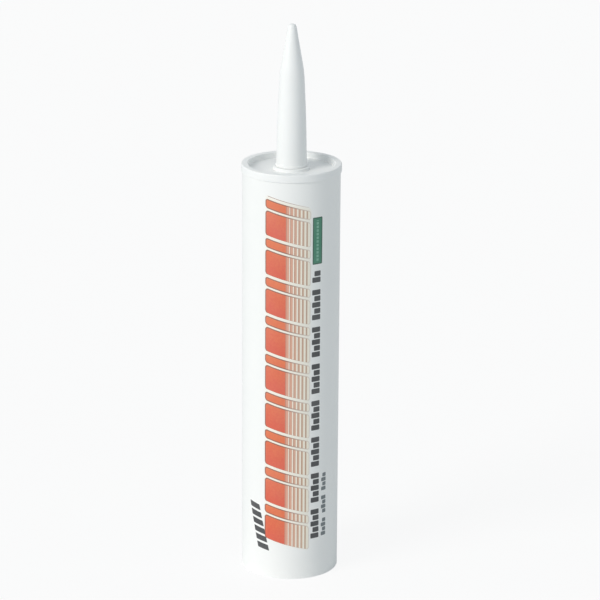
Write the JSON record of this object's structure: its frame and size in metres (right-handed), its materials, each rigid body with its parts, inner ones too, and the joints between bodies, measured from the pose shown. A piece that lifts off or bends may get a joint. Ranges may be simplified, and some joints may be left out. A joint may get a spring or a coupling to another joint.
{
  "type": "caulk tube",
  "caption": "Upright round caulking cartridge with a long tapered nozzle on a lipped end closure and a sliding plunger in its open rear end.",
  "frame": {"origin": "centre of the open rear rim, on the surface that the tube stands on", "axes": "+Z along the tube's axis from the rear rim to the nozzle's tip, -Y towards the printed front, +X to the right of that front"},
  "size_m": [0.051, 0.051, 0.2884],
  "materials": {
    "printed_paper": "satin",
    "white_end": "satin",
    "white_nozzle": "satin",
    "foil": "satin",
    "white_paste": "satin",
    "natural_plunger": "satin"
  },
  "bodies": {
    "barrel": {"tube_body": "printed_paper", "end_closure": "white_end", "nozzle": "white_nozzle", "foil_seal": "foil", "sealant": "white_paste"},
    "plunger": {"plunger": "natural_plunger"}
  },
  "joints": [
    {"name": "plunger_slide", "type": "slide", "parent": "barrel", "child": "plunger", "axis": [0, 0, 1], "range_m": [0, 0.1732], "deforming": ["sealant"]}
  ]
}
